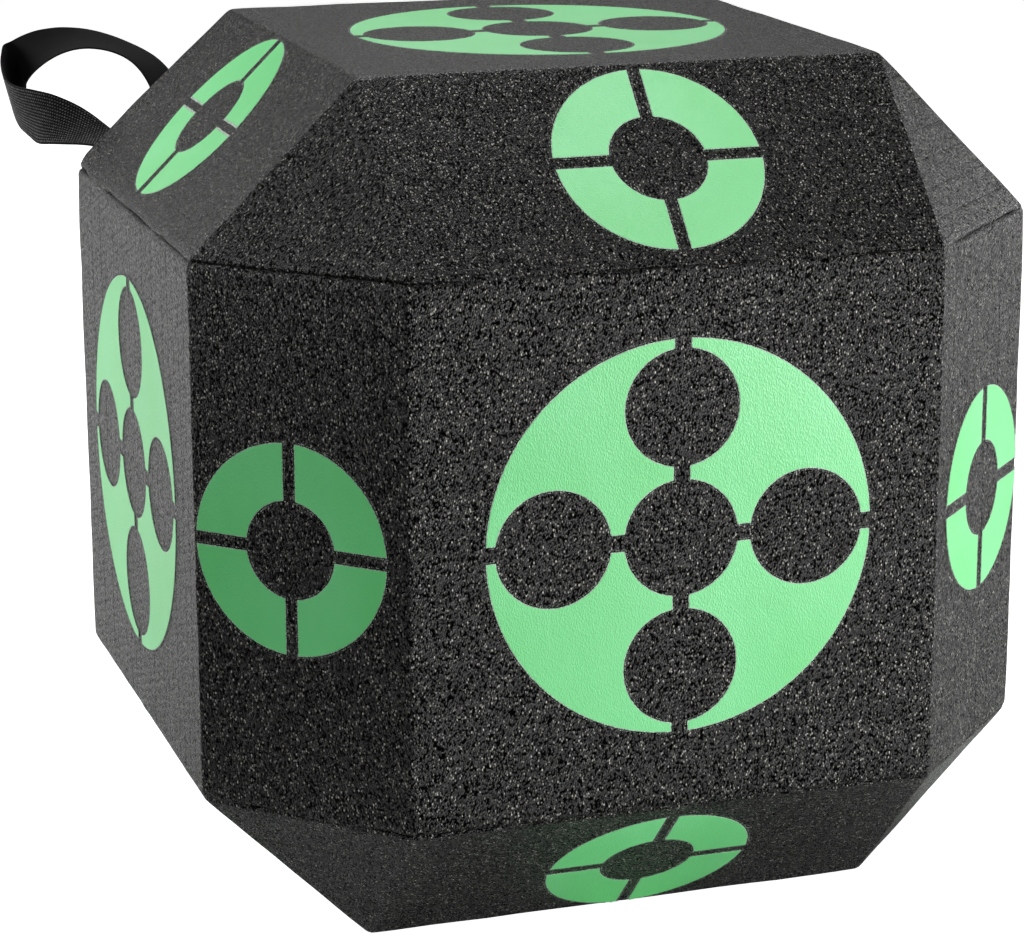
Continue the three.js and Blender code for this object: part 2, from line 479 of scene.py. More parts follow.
def swellCorner(points):
    # The glued webbing pushes the sheets over it outward at its corner of the block.
    a, b, c = strapCorner
    edge1, edge2 = b - a, c - a
    normal = np.array([-1.0, 1.0, 1.0]) / math.sqrt(3)
    grid = np.array([[edge1 @ edge1, edge1 @ edge2], [edge1 @ edge2, edge2 @ edge2]])
    shares = (points - a) @ np.stack([edge1, edge2], axis=1) @ np.linalg.inv(grid)
    weights = np.clip(np.stack([1 - shares.sum(axis=1), shares[:, 0], shares[:, 1]], axis=1), 0, None)
    weights /= weights.sum(axis=1, keepdims=True)
    nearest = weights[:, :1] * a + weights[:, 1:2] * b + weights[:, 2:] * c
    away = np.linalg.norm(points - nearest, axis=1)
    height = points[:, 2] + half
    start, full, fall, end = block["swellingHeights"]
    rise = smoothStep(height, start, full) * (1 - smoothStep(height, fall, end))
    lift = block["swelling"] * rise * np.exp(-((away / block["swellingReach"]) ** 2))
    return points + lift[:, None] * normal


def leanOut(points):
    # The left side stands a little further out towards the back, up to the top bevel.
    back = np.clip((points[:, 1] + faceHalf) / (2 * faceHalf), 0, 1)
    side = np.clip(-points[:, 0] / faceHalf, 0, 1)
    under = np.clip((half - points[:, 2]) / block["bevel"], 0, 1)
    leant = points.copy()
    leant[:, 0] -= block["lean"] * back * side * under
    return leant


def leanPiece(obj):
    writePoints(obj.data, leanOut(readPoints(obj.data) - np.array(middle)) + np.array(middle))


def dressFoam(obj):
    # Rounds, loosens and seams a foam piece that was made with flat faces.
    points = readPoints(obj.data) - np.array(middle)
    normals, depth, nextDepth = outward(points)
    outer = depth < block["skinDepth"]
    height = np.abs(np.abs(points[:, 2]) - faceHalf)
    moved = roundEdges(points)
    seam = np.clip(1 - height / block["seamWidth"], 0, 1) ** 2 * block["seamDepth"]
    level = normals.copy()
    level[:, 2] = 0
    level /= np.maximum(np.linalg.norm(level, axis=1, keepdims=True), 1e-9)
    least, usual, most = block["seamShares"]
    rough = wander(points * block["seamStretch"], block["seamWander"])
    seam *= np.clip(usual + block["seamSwing"] * rough[:, 0], least, most)
    moved -= np.where(outer, seam, 0)[:, None] * level
    near = np.exp(-((nextDepth / block["wanderReach"]) ** 2))
    moved += wander(points, block["wanderSize"]) * (block["edgeWander"] * near * outer)[:, None]
    moved = leanOut(swellCorner(moved))
    writePoints(obj.data, moved + np.array(middle))
    obj.data.shade_smooth()
    obj.data.set_sharp_from_angle(angle=math.radians(block["sharpAngle"]))


sheetBlank = dict(columns=14, layers=9, rows=30, crowdAcross=2.6, crowdThrough=1.9, crowdUp=2.4)


def makeSheetTree():
    # A row of upright sheets: each starts as the same blank and is cut to the bevels by its place.
    tree, t, given, out = newGroup("uprightSheets", "GeometryNodeTree", [
        ("Block width", "NodeSocketFloat", 0.38),
        ("Bevel depth", "NodeSocketFloat", 0.073),
        ("Bevel sheets", "NodeSocketInt", 7),
        ("Face sheets", "NodeSocketInt", 23),
        ("Groove depth", "NodeSocketFloat", 0.0004),
        ("Groove width", "NodeSocketFloat", 0.001),
        ("Unevenness", "NodeSocketFloat", 0.0001),
        ("Columns", "NodeSocketInt", sheetBlank["columns"]),
        ("Layers", "NodeSocketInt", sheetBlank["layers"]),
        ("Rows", "NodeSocketInt", sheetBlank["rows"]),
        ("Seed", "NodeSocketInt", 3),
        ("Material", "NodeSocketMaterial", None),
    ], [("Geometry", "NodeSocketGeometry")])
    tree.is_modifier = True
    halfWidth = t.math("MULTIPLY", given["Block width"], 0.5)
    faceSide = t.math("SUBTRACT", halfWidth, given["Bevel depth"])
    faceWidth = t.math("MULTIPLY", faceSide, 2.0)
    lastFace = t.math("ADD", given["Bevel sheets"], given["Face sheets"])
    count = t.math("ADD", lastFace, given["Bevel sheets"])
    row = t.put("GeometryNodeMeshLine", {"Count": count, "Offset": (0, 0, 0)}).outputs[0]
    number = t.put("GeometryNodeInputIndex").outputs[0]
    row = t.put("GeometryNodeStoreNamedAttribute", {"Geometry": row, "Name": "sheet", "Value": number},
                data_type="FLOAT", domain="POINT").outputs[0]
    blank = t.put("GeometryNodeMeshCube", {
        "Size": (2, 2, 2), "Vertices X": given["Columns"],
        "Vertices Y": given["Layers"], "Vertices Z": given["Rows"],
    }).outputs[0]
    copies = t.put("GeometryNodeInstanceOnPoints", {"Points": row, "Instance": blank}).outputs[0]
    sheets = t.put("GeometryNodeRealizeInstances", {"Geometry": copies}).outputs[0]
    sheet = t.put("GeometryNodeInputNamedAttribute", {"Name": "sheet"}, data_type="FLOAT").outputs[0]
    place = t.put("ShaderNodeSeparateXYZ", {0: t.put("GeometryNodeInputPosition").outputs[0]}).outputs

    def crowd(share, power):  # draws the inner rows of a blank towards its rims
        gap = t.math("SUBTRACT", 1.0, t.math("ABSOLUTE", share))
        near = t.math("SUBTRACT", 1.0, t.math("POWER", gap, power))
        return t.math("MULTIPLY", near, t.math("SIGN", share))

    across = crowd(place[0], sheetBlank["crowdAcross"])
    through = crowd(place[1], sheetBlank["crowdThrough"])
    up = crowd(place[2], sheetBlank["crowdUp"])
    where = t.math("ADD", sheet, t.math("MULTIPLY_ADD", through, 0.5, 0.5))
    y = t.math("SUBTRACT", t.ramp(where, 0.0, given["Bevel sheets"], 0.0, given["Bevel depth"]), halfWidth)
    y = t.math("ADD", y, t.ramp(where, given["Bevel sheets"], lastFace, 0.0, faceWidth))
    y = t.math("ADD", y, t.ramp(where, lastFace, count, 0.0, given["Bevel depth"]))
    cut = t.math("SUBTRACT", t.math("ADD", halfWidth, faceSide), t.math("ABSOLUTE", y))
    side = t.math("MINIMUM", cut, halfWidth)
    pitch = t.math("DIVIDE", given["Block width"], count)
    fromRim = t.math("SUBTRACT", 1.0, t.math("ABSOLUTE", through))
    rim = t.math("MULTIPLY", fromRim, t.math("MULTIPLY", pitch, 0.5))
    groove = t.math("POWER", t.ramp(rim, 0.0, given["Groove width"], 1.0, 0.0), 2.0)
    chance = t.put(
        "FunctionNodeRandomValue", {"ID": sheet, "Seed": given["Seed"]}, data_type="FLOAT",
    ).outputs[1]
    uneven = t.math("MULTIPLY", chance, given["Unevenness"])
    side = t.math("SUBTRACT", side, t.math("MULTIPLY_ADD", groove, given["Groove depth"], uneven))
    x = t.math("MULTIPLY", across, side)
    z = t.math("MULTIPLY_ADD", up, faceSide, halfWidth)
    cutPlace = t.put("ShaderNodeCombineXYZ", {0: x, 1: y, 2: z}).outputs[0]
    shaped = t.put("GeometryNodeSetPosition", {"Geometry": sheets, "Position": cutPlace}).outputs[0]
    coated = t.put("GeometryNodeSetMaterial", {"Geometry": shaped, "Material": given["Material"]}).outputs[0]
    t.tree.links.new(coated, out["Geometry"])
    return tree


core = grow("foamCore", makeSheetTree(), {
    "Block width": block["width"], "Bevel depth": block["bevel"], "Bevel sheets": block["bevelSheets"],
    "Face sheets": block["faceSheets"], "Groove depth": block["grooveDepth"],
    "Groove width": block["grooveWidth"], "Unevenness": block["unevenness"], "Material": foam,
})
dressFoam(core)
print("core sheets made,", len(core.data.polygons), "faces")

# Rows of points: from each corner of a side and in from the rim of the square face, in millimetres,
# and through a sheet as shares of its thickness.
capRows = dict(
    across=[0, 0.4, 1.1, 2.4, 5, 10, 18, 28, 40, 54, 70, 86, 102], face=[0.4, 1.2, 3, 8, 20, 40, 70, 100],
    through=[0, 0.05, 0.14, 0.3, 0.5], topSeed=11, bottomSeed=12, weld=1e-6, sliver=1e-7,
)


def capRing(rise):
    # One turn round the cap at this height over the seam, with its points crowded at the corners.
    reach = half - rise
    ring = []
    turns = [((1, 0), (0, 1)), ((0, 1), (-1, 0)), ((-1, 0), (0, -1)), ((0, -1), (1, 0))]
    steps = [s * mm for s in capRows["across"]]
    sidePlaces = [s - faceHalf for s in steps] + [faceHalf - s for s in reversed(steps)]
    slope = math.sqrt(2) * (half - faceHalf)
    cornerSteps = [s / slope for s in steps if s < slope / 2]
    cornerShares = cornerSteps[1:] + [1 - s for s in reversed(cornerSteps[1:])]
    for ahead, sideways in turns:
        ahead, sideways = np.array(ahead, float), np.array(sideways, float)
        for s in sidePlaces:
            ring.append(ahead * reach + sideways * s)
        first = ahead * reach + sideways * faceHalf
        last = ahead * faceHalf + sideways * reach
        for share in cornerShares:
            ring.append(first + (last - first) * share)
    return np.array(ring)


def makeCap(name, sign):
    points, faces = [], []
    thickness = block["bevel"] / block["bevelSheets"]
    shares = capRows["through"] + [1 - s for s in reversed(capRows["through"][:-1])]

    def addRing(ring, z):
        start = len(points)
        points.extend((x, y, half + sign * z) for x, y in ring)
        return start, len(ring)

    def bridge(lower, upper, count):
        for k in range(count):
            n = (k + 1) % count
            face = (lower + k, lower + n, upper + n, upper + k)
            faces.append(face if sign > 0 else face[::-1])

    def close(start, count, upward):
        face = tuple(range(start, start + count))
        faces.append(face if upward == (sign > 0) else face[::-1])

    rng = np.random.default_rng(capRows["topSeed" if sign > 0 else "bottomSeed"])
    for sheet in range(block["bevelSheets"]):
        starts = []
        uneven = rng.uniform(0, block["unevenness"])
        for share in shares:
            rise = (sheet + share) * thickness
            ring = capRing(rise)
            rim = min(share, 1 - share) * thickness
            groove = max(0, 1 - rim / block["grooveWidth"]) ** 2 * block["grooveDepth"]
            if sheet == block["bevelSheets"] - 1 and share > 0.5:
                groove = 0
            ring = ring * (1 - (groove + uneven) / half)
            start, count = addRing(ring, faceHalf + rise)
            if starts:
                bridge(starts[-1], start, count)
            starts.append(start)
        close(starts[0], count, False)
        if sheet < block["bevelSheets"] - 1:
            close(starts[-1], count, True)
    for inset in capRows["face"]:
        start, count = addRing(ring * (1 - inset * mm / faceHalf), half)
        bridge(starts[-1], start, count)
        starts.append(start)
    close(starts[-1], count, True)
    obj = addMesh(name, points, faces, foam)
    tidy = bmesh.new()
    tidy.from_mesh(obj.data)
    bmesh.ops.remove_doubles(tidy, verts=tidy.verts, dist=capRows["weld"])
    bmesh.ops.dissolve_degenerate(tidy, edges=tidy.edges, dist=capRows["sliver"])
    tidy.to_mesh(obj.data)
    tidy.free()
    dressFoam(obj)
    return obj


topCap = makeCap("foamTopCap", 1)
bottomCap = makeCap("foamBottomCap", -1)
print("caps made,", len(topCap.data.polygons), "faces each")

# Printed targets. Places are off the middle of each face, to its right and up, as seen from outside.
bigTarget = dict(radius=85, dot=25.5, spread=56, bar=3.9)
ringTarget = dict(radius=45.5, hole=21.5, bar=3.1)
# Each layer: its growth, its growth at the open ends, then where it starts and ends over the foam.
# The growth, the step and the wobble are in millimetres.
film = dict(
    base=(0.34, 1.1, 0.00007, 0.00014), ink=(0, 0, 0.00015, 0.00024), openEnds=("topLeft",),
    step=0.7, wobble=0.13, wobbleSize=1.3, seedStep=9, arcStep=3,
)
targets = {
    "front": ((0, -1, 0), (1, 0, 0), (0.3, 2)),
    "back": ((0, 1, 0), (-1, 0, 0), (-1.5, 1)),
    "left": ((-1, 0, 0), (0, -1, 0), (-4, 0.6)),
    "right": ((1, 0, 0), (0, 1, 0), (2, 1)),
    "top": ((0, 0, 1), (1, 0, 0), (0, 0)),
    "bottom": ((0, 0, -1), (1, 0, 0), (1, -1)),
    "frontLeft": ((-r2, -r2, 0), (r2, -r2, 0), (-4.8, 0)),
    "frontRight": ((r2, -r2, 0), (r2, r2, 0), (5.7, -1)),
    "backLeft": ((-r2, r2, 0), (-r2, -r2, 0), (2, 1)),
    "backRight": ((r2, r2, 0), (-r2, r2, 0), (-3, -1)),
    "topFront": ((0, -r2, r2), (1, 0, 0), (3, 2.5)),
    "topLeft": ((-r2, 0, r2), (0, -1, 0), (-8, 4)),
    "topBack": ((0, r2, r2), (-1, 0, 0), (2, 1)),
    "topRight": ((r2, 0, r2), (0, 1, 0), (-2, -1)),
    "bottomFront": ((0, -r2, -r2), (1, 0, 0), (1, -5.5)),
    "bottomLeft": ((-r2, 0, -r2), (0, -1, 0), (3, -1)),
    "bottomBack": ((0, r2, -r2), (-1, 0, 0), (-2, 2)),
    "bottomRight": ((r2, 0, -r2), (0, 1, 0), (1, 1)),
}


def arc(centre, radius, start, end):
    count = max(2, int(abs(end - start) / film["arcStep"]) + 1)
    turns = [math.radians(start + (end - start) * k / count) for k in range(count + 1)]
    return [(centre[0] + radius * math.cos(a), centre[1] + radius * math.sin(a)) for a in turns]


def bigQuarter(grown, endGrown):
    # The first quarter of the five-dot mark, grown outward by this much. It has no open ends.
    radius, dot = bigTarget["radius"] + grown, bigTarget["dot"] - grown
    bar, spread = bigTarget["bar"] - grown, bigTarget["spread"]
    small = math.degrees(math.asin(bar / dot))
    wide = math.degrees(math.asin(bar / radius))
    path = arc((spread, 0), dot, 180 - small, small)
    path += arc((0, 0), radius, wide, 90 - wide)
    path += arc((0, spread), dot, 90 - small, -90 + small)
    path += arc((0, 0), dot, 90 - small, small)
    return path


def ringQuarter(grown, endGrown):
    # The ends at the level bar may be grown by another amount than the rest.
    radius, hole = ringTarget["radius"] + grown, ringTarget["hole"] - grown
    level, upright = ringTarget["bar"] - endGrown, ringTarget["bar"] - grown
    ends = [math.degrees(math.asin(bar / size)) for bar, size in (
        (level, radius), (upright, radius), (upright, hole), (level, hole))]
    return arc((0, 0), radius, ends[0], 90 - ends[1]) + arc((0, 0), hole, 90 - ends[2], ends[3])


def targetFrame(name):
    normal, right, shift = targets[name]
    normal, right = Vector(normal), Vector(right)
    up = normal.cross(right)
    square = max(abs(part) for part in normal) == 1
    distance = half if square else (half + faceHalf) * r2
    centre = middle + normal * distance + (right * shift[0] + up * shift[1]) * mm
    return centre, right, up, normal, bigQuarter if square else ringQuarter


def quarters(path):
    # The level bar stays the level one, so every other quarter is mirrored instead of turned.
    for a, b in ((1, 1), (-1, 1), (-1, -1), (1, -1)):
        quarter = [(a * x, b * y) for x, y in path]
        yield quarter if a * b > 0 else quarter[::-1]


def wobbled(path, seed):
    # The same outline in short steps, each moved a little, as ink ends on the tops of the cells.
    step = film["step"]
    path = np.array(path)
    runs = np.linalg.norm(np.roll(path, -1, axis=0) - path, axis=1)
    along = np.concatenate([[0], np.cumsum(runs)])
    closed = np.vstack([path, path[:1]])
    where = np.arange(0, along[-1] - step / 2, step)
    points = np.stack([np.interp(where, along, closed[:, k]) for k in range(2)], axis=1)
    for k, (x, y) in enumerate(points):
        push = noise.noise_vector(Vector((x, y, seed)) / film["wobbleSize"])
        points[k] += np.array(push[:2]) * film["wobble"]
    return points


def makeFilm(name, label, layer, material):
    centre, right, up, normal, shape = targetFrame(name)
    grown, endGrown, low, high = layer
    if name not in film["openEnds"]:
        endGrown = grown
    points, faces = [], []
    for turn, path in enumerate(quarters(shape(grown, endGrown))):
        path = wobbled(path, film["seedStep"] * turn)
        start, count = len(points), len(path)
        for lift in (low, high):
            points.extend(centre + (right * x + up * y) * mm + normal * lift for x, y in path)
        lower = list(range(start, start + count))
        upper = [k + count for k in lower]
        faces.append(tuple(upper))
        faces.append(tuple(reversed(lower)))
        for k in range(count):
            n = (k + 1) % count
            faces.append((lower[k], lower[n], upper[n], upper[k]))
    return addMesh(label + name[0].upper() + name[1:], points, faces, material)


bases = [makeFilm(name, "printBase", film["base"], paleBase) for name in targets]
films = [makeFilm(name, "print", film["ink"], greenPaint) for name in targets]
print("printed targets made,", len(films))


fleck = dict(
    gap=1.0, spacing=0.0005, size=0.00028, sizes=(0.45, 1.0), missing=0.4, scatter=0.00014, firstSeed=20,
)


def makeOutlineTree():
    # Small flecks along the print's outline, where the cells' tops took the pale edge of the print.
    tree, t, given, out = newGroup("outlineFlecks", "GeometryNodeTree", [
        ("Geometry", "NodeSocketGeometry", None),
        ("Spacing", "NodeSocketFloat", 0.001),
        ("Fleck size", "NodeSocketFloat", 0.0004),
        ("Missing share", "NodeSocketFloat", 0.3),
        ("Scatter", "NodeSocketFloat", 0.00015),
        ("Seed", "NodeSocketInt", 5),
        ("Material", "NodeSocketMaterial", None),
    ], [("Geometry", "NodeSocketGeometry")])
    tree.is_modifier = True
    curve = t.put("GeometryNodeMeshToCurve", {"Mesh": given["Geometry"]}).outputs[0]
    spots = t.put(
        "GeometryNodeCurveToPoints", {"Curve": curve, "Length": given["Spacing"]}, mode="LENGTH",
    ).outputs[0]
    chance = t.put("FunctionNodeRandomValue", {"Seed": given["Seed"]}, data_type="FLOAT").outputs[1]
    missing = t.put("FunctionNodeCompare", {0: chance, 1: given["Missing share"]},
                    data_type="FLOAT", operation="LESS_THAN").outputs[0]
    kept = t.put("GeometryNodeDeleteGeometry", {"Geometry": spots, "Selection": missing},
                 domain="POINT").outputs[0]
    ball = t.put("GeometryNodeMeshIcoSphere", {"Radius": given["Fleck size"], "Subdivisions": 1}).outputs[0]
    nextSeed = t.math("ADD", given["Seed"], 1.0)
    sizes = t.put(
        "FunctionNodeRandomValue", {2: fleck["sizes"][0], 3: fleck["sizes"][1], "Seed": nextSeed},
        data_type="FLOAT",
    ).outputs[1]
    copies = t.put("GeometryNodeInstanceOnPoints", {
        "Points": kept, "Instance": ball, "Scale": sizes,
    }).outputs[0]
    shift = t.put(
        "FunctionNodeRandomValue", {0: (-1, -1, -1), 1: (1, 1, 1), "Seed": nextSeed},
        data_type="FLOAT_VECTOR",
    ).outputs[0]
    reach = t.put("ShaderNodeVectorMath", {0: shift, 3: given["Scatter"]}, operation="SCALE").outputs[0]
    loose = t.put("GeometryNodeSetPosition", {"Geometry": copies, "Offset": reach}).outputs[0]
    real = t.put("GeometryNodeRealizeInstances", {"Geometry": loose}).outputs[0]
    coated = t.put("GeometryNodeSetMaterial", {"Geometry": real, "Material": given["Material"]}).outputs[0]
    t.tree.links.new(coated, out["Geometry"])
    return tree


outlineFlecks = makeOutlineTree()


def makeOutline(name, seed):
    centre, right, up, normal, shape = targetFrame(name)
    path = bmesh.new()
    for loop in quarters(shape(fleck["gap"], fleck["gap"])):
        turn = [path.verts.new(centre + (right * x + up * y) * mm) for x, y in loop]
        for k, point in enumerate(turn):
            path.edges.new((point, turn[(k + 1) % len(turn)]))
    mesh = bpy.data.meshes.new("outlinePath")
    path.to_mesh(mesh)
    path.free()
    return grow("outline" + name[0].upper() + name[1:], outlineFlecks, {
        "Spacing": fleck["spacing"], "Fleck size": fleck["size"], "Missing share": fleck["missing"],
        "Scatter": fleck["scatter"], "Seed": seed, "Material": greyOutline,
    }, mesh)


outlines = [makeOutline(name, fleck["firstSeed"] + number) for number, name in enumerate(targets)]
for piece in bases + films + outlines:
    leanPiece(piece)
print("outlines made,", sum(len(obj.data.polygons) for obj in outlines), "faces")

# The webbing, from the end of one glued tail round the loop to the end of the other, in millimetres.
strap = dict(
    width=25.0, tail=70.0, exit=209.708, stub=8.0, side=30.245, height=316.679,
    reach=95.5, rise=38.5, ease=18, turnEase=26,
    ground=1.0, step=1.2, floatPitch=1.5, floatLength=1.0, floatWidth=0.9, floatHeight=0.5,
    floatSizes=(0.75, 1.12), floatYaw=0.16, perStation=24, perTail=30, blend=3.5, sharpAngle=60,
    waveLength=9.0, waveStretch=(1, 0.3, 0), waveShare=0.012, hemFrom=0.9, hemThickness=0.8,
    acrossPoints=15, throughPoints=3, beadSegments=6, beadRings=4, seed=4,
)
# Outward, sideways and upward shares, then the lean and the tip of the width in degrees.
strapShares = [
    (0, 1, 0, 90, 0), (0.095, 1, 0.06, 78, 0), (0.216, 0.978, 0.131, 54, 9), (0.362, 0.913, 0.187, 36, 23),
    (0.505, 0.7, 0.2, 17, 28), (0.643, 0.43, 0.21, 0, 21), (0.775, 0.107, 0.244, -12, 9),
    (0.884, -0.266, 0.326, -22, -1), (0.975, -0.614, 0.438, -26, -4), (1.018, -0.915, 0.55, -14, -1),
    (0.994, -0.995, 0.586, 7, 14), (0.938, -0.915, 0.678, 23, 26), (0.836, -0.84, 0.812, 41, 27),
    (0.684, -0.825, 0.946, 60, 20), (0.508, -0.862, 1.01, 78, 12), (0.325, -0.925, 0.95, 91, 5),
    (0.165, -0.97, 0.79, 96, 2), (0.065, -1, 0.5, 95, 0), (0.02, -1, 0.19, 92, 0), (0, -1, 0, 90, 0),
]
bendOut = strap["exit"] + strap["stub"]


def smoothThrough(stations, count):
    # Points along a centripetal curve through these stations, the same number between each two.
    stations = np.array(stations, float)
    padded = np.vstack([2 * stations[0] - stations[1], stations, 2 * stations[-1] - stations[-2]])
    rows = []
    for k in range(len(stations) - 1):
        p0, p1, p2, p3 = padded[k:k + 4]
        d0, d1, d2 = (np.linalg.norm(b - a) ** 0.5 for a, b in ((p0, p1), (p1, p2), (p2, p3)))
        d1 = d1 or 1.0
        d0, d2 = d0 or d1, d2 or d1
        m1 = ((p1 - p0) / d0 - (p2 - p0) / (d0 + d1) + (p2 - p1) / d1) * d1
        m2 = ((p2 - p1) / d1 - (p3 - p1) / (d1 + d2) + (p3 - p2) / d2) * d1
        for t in np.arange(count) / count:
            square, cube = 3 * (p2 - p1) - 2 * m1 - m2, 2 * (p1 - p2) + m1 + m2
            rows.append(p1 + m1 * t + square * t**2 + cube * t**3)
    return np.array(rows + [stations[-1]])


def unit(rows):
    return rows / np.linalg.norm(rows, axis=1, keepdims=True)


def eased(rows, reach):
    # Each row becomes the weighted mean of its neighbours up to this many rows away.
    weights = np.hanning(2 * reach + 3)[1:-1]
    padded = np.pad(rows, ((reach, reach), (0, 0)), mode="edge")
    weights /= weights.sum()
    return np.stack([np.convolve(column, weights, mode="valid") for column in padded.T], axis=1)


def strapRoute():
    # Places and widths along the whole strap, in the corner's own axes: outward, sideways, up.
    places = smoothThrough([
        (bendOut + out * strap["reach"], sideways * strap["side"], strap["height"] + up * strap["rise"])
        for out, sideways, up, *_ in strapShares
    ], strap["perStation"])
    widths = smoothThrough([(
        math.sin(math.radians(tip)),
        -math.sin(math.radians(lean)) * math.cos(math.radians(tip)),
        math.cos(math.radians(lean)) * math.cos(math.radians(tip)),
    ) for *_, lean, tip in strapShares], strap["perStation"])
    back = np.linspace(strap["exit"] - strap["tail"], bendOut, strap["perTail"])[:-1]
    near = np.array([(x, strap["side"], strap["height"]) for x in back])
    far = near[::-1] * [1, -1, 1]
    flat = np.array([(0, -1, 0)] * len(back))
    places = np.vstack([near, eased(places, strap["ease"]), far])
    widths = np.vstack([flat, eased(widths, strap["ease"]), flat])
    tangents = unit(np.gradient(places, axis=0))
    across = widths - np.sum(widths * tangents, axis=1, keepdims=True) * tangents
    across = unit(eased(unit(across), strap["turnEase"]))
    through = unit(np.cross(tangents, across))
    along = np.concatenate([[0], np.cumsum(np.linalg.norm(np.diff(places, axis=0), axis=1))])
    return along, places, across, through


def makeWebbingTree():
    # Flat webbing: a thin ground with raised yarn floats in a brick pattern on its lower side.
    tree, t, given, out = newGroup("flatWebbing", "GeometryNodeTree", [
        ("Length", "NodeSocketFloat", 0.38),
        ("Free length", "NodeSocketFloat", 0.26),
        ("Width", "NodeSocketFloat", 0.025),
        ("Ground thickness", "NodeSocketFloat", 0.001),
        ("Ground step", "NodeSocketFloat", 0.0012),
        ("Float pitch", "NodeSocketFloat", 0.00125),
        ("Float size", "NodeSocketVector", (0.0015, 0.0009, 0.0004)),
        ("Seed", "NodeSocketInt", 4),
        ("Ground", "NodeSocketMaterial", None),
        ("Yarn", "NodeSocketMaterial", None),
    ], [("Geometry", "NodeSocketGeometry")])
    tree.is_modifier = True
    size = t.put("ShaderNodeCombineXYZ", {
        0: given["Length"], 1: given["Width"], 2: given["Ground thickness"],
    }).outputs[0]
    steps = t.math("DIVIDE", given["Length"], given["Ground step"])
    ground = t.put("GeometryNodeMeshCube", {
        "Size": size, "Vertices X": steps,
        "Vertices Y": strap["acrossPoints"], "Vertices Z": strap["throughPoints"],
    }).outputs[0]
    place = t.put("ShaderNodeSeparateXYZ", {0: t.put("GeometryNodeInputPosition").outputs[0]}).outputs
    body = t.put("GeometryNodeSetMaterial", {"Geometry": ground, "Material": given["Ground"]}).outputs[0]
    pitch = given["Float pitch"]
    rows = t.math("FLOOR", t.math("DIVIDE", given["Free length"], pitch))
    columns = t.math("FLOOR", t.math("DIVIDE", given["Width"], pitch))
    spread = t.put("GeometryNodeMeshGrid", {
        "Size X": t.math("MULTIPLY", pitch, t.math("SUBTRACT", rows, 1.0)),
        "Size Y": t.math("MULTIPLY", pitch, t.math("SUBTRACT", columns, 1.0)),
        "Vertices X": rows, "Vertices Y": columns,
    }).outputs[0]
    # One metre more keeps the rounding clear of halves.
    column = t.math("ROUND", t.math("DIVIDE", t.math("ADD", place[1], 1.0), pitch))
    parity = t.math("FLOORED_MODULO", column, 2.0)
    offset = t.put("ShaderNodeCombineXYZ", {
        0: t.math("MULTIPLY", t.math("SUBTRACT", parity, 0.5), t.math("MULTIPLY", pitch, 0.5)),
        2: t.math("MULTIPLY", given["Ground thickness"], -0.5),
    }).outputs[0]
    bricks = t.put("GeometryNodeSetPosition", {"Geometry": spread, "Offset": offset}).outputs[0]
    bead = t.put("GeometryNodeMeshUVSphere", {
        "Segments": strap["beadSegments"], "Rings": strap["beadRings"], "Radius": 0.5,
    }).outputs[0]
    least, most = strap["floatSizes"]
    share = t.put(
        "FunctionNodeRandomValue", {2: least, 3: most, "Seed": given["Seed"]}, data_type="FLOAT",
    ).outputs[1]
    scale = t.put("ShaderNodeVectorMath", {0: given["Float size"], 3: share}, operation="SCALE").outputs[0]
    yaw = t.put("FunctionNodeRandomValue", {
        0: (0, 0, -strap["floatYaw"]), 1: (0, 0, strap["floatYaw"]), "Seed": given["Seed"],
    }, data_type="FLOAT_VECTOR").outputs[0]
    turn = t.put("FunctionNodeEulerToRotation", {"Euler": yaw}).outputs[0]
    copies = t.put("GeometryNodeInstanceOnPoints", {
        "Points": bricks, "Instance": bead, "Scale": scale, "Rotation": turn,
    }).outputs[0]
    real = t.put("GeometryNodeRealizeInstances", {"Geometry": copies}).outputs[0]
    yarn = t.put("GeometryNodeSetMaterial", {"Geometry": real, "Material": given["Yarn"]}).outputs[0]
    both = t.put("GeometryNodeJoinGeometry")
    t.tree.links.new(yarn, both.inputs[0])
    t.tree.links.new(body, both.inputs[0])
    t.tree.links.new(both.outputs[0], out["Geometry"])
    return tree


def makeStrap():
    along, places, across, through = strapRoute()
    length = along[-1]
    obj = grow("carryingStrap", makeWebbingTree(), {
        "Length": length * mm, "Free length": (length - 2 * strap["tail"]) * mm, "Width": strap["width"] * mm,
        "Ground thickness": strap["ground"] * mm, "Ground step": strap["step"] * mm,
        "Float pitch": strap["floatPitch"] * mm,
        "Float size": [strap[name] * mm for name in ("floatLength", "floatWidth", "floatHeight")],
        "Seed": strap["seed"], "Ground": webbingGroundPaintedShade, "Yarn": webbingYarnPaintedSheen,
    })
    flat = readPoints(obj.data) / mm
    reach = flat[:, 0] + length / 2

    def at(rows):
        return np.stack([np.interp(reach, along, rows[:, k]) for k in range(3)], axis=1)

    wave = wander(flat * strap["waveStretch"], strap["waveLength"])
    edge = np.abs(flat[:, 1]) / (strap["width"] / 2)
    wide = flat[:, 1] * (1 + strap["waveShare"] * wave[:, 1] * edge)
    thick = flat[:, 2] * np.where(edge > strap["hemFrom"], strap["hemThickness"], 1.0)
    local = at(places) + wide[:, None] * unit(at(across)) + thick[:, None] * unit(at(through))
    out, sideways, up = local.T
    world = np.stack([-(out + sideways) * r2, (out - sideways) * r2, up], axis=1)
    writePoints(obj.data, world * mm)
    obj.data.shade_smooth()
    obj.data.set_sharp_from_angle(angle=math.radians(strap["sharpAngle"]))
    return obj


carryingStrap = makeStrap()
print("strap made,", len(carryingStrap.data.polygons), "faces")

